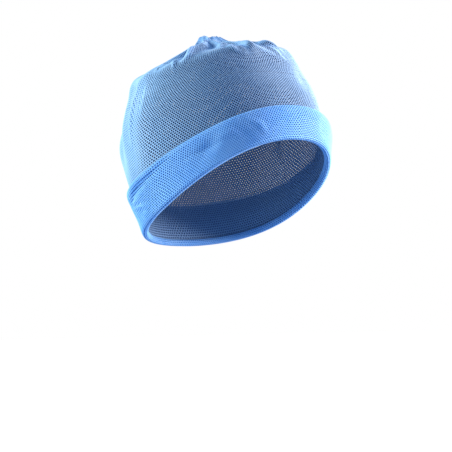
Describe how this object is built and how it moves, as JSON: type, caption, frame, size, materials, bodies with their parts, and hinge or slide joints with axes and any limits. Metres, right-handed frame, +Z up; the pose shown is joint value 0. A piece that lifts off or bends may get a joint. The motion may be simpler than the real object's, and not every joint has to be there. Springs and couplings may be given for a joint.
{
  "type": "disposable hairnet",
  "caption": "Knitted-net head covering in its worn form, gathered closed at the top, with a turned-up cuff and a soft rolled rim.",
  "frame": {"origin": "middle of the head opening, where the cap sits on a head, level with the rim's lower edge over the ears", "axes": "+Z up when worn, -Y towards the wearer's forehead, +X towards the wearer's left"},
  "size_m": [0.1688, 0.2199, 0.1939],
  "materials": {
    "crown_net": "fine open knit, matt",
    "cuff_net": "doubled fine knit, matt"
  },
  "bodies": {
    "root": {"crown": "crown_net", "cuff": "cuff_net"}
  },
  "joints": []
}
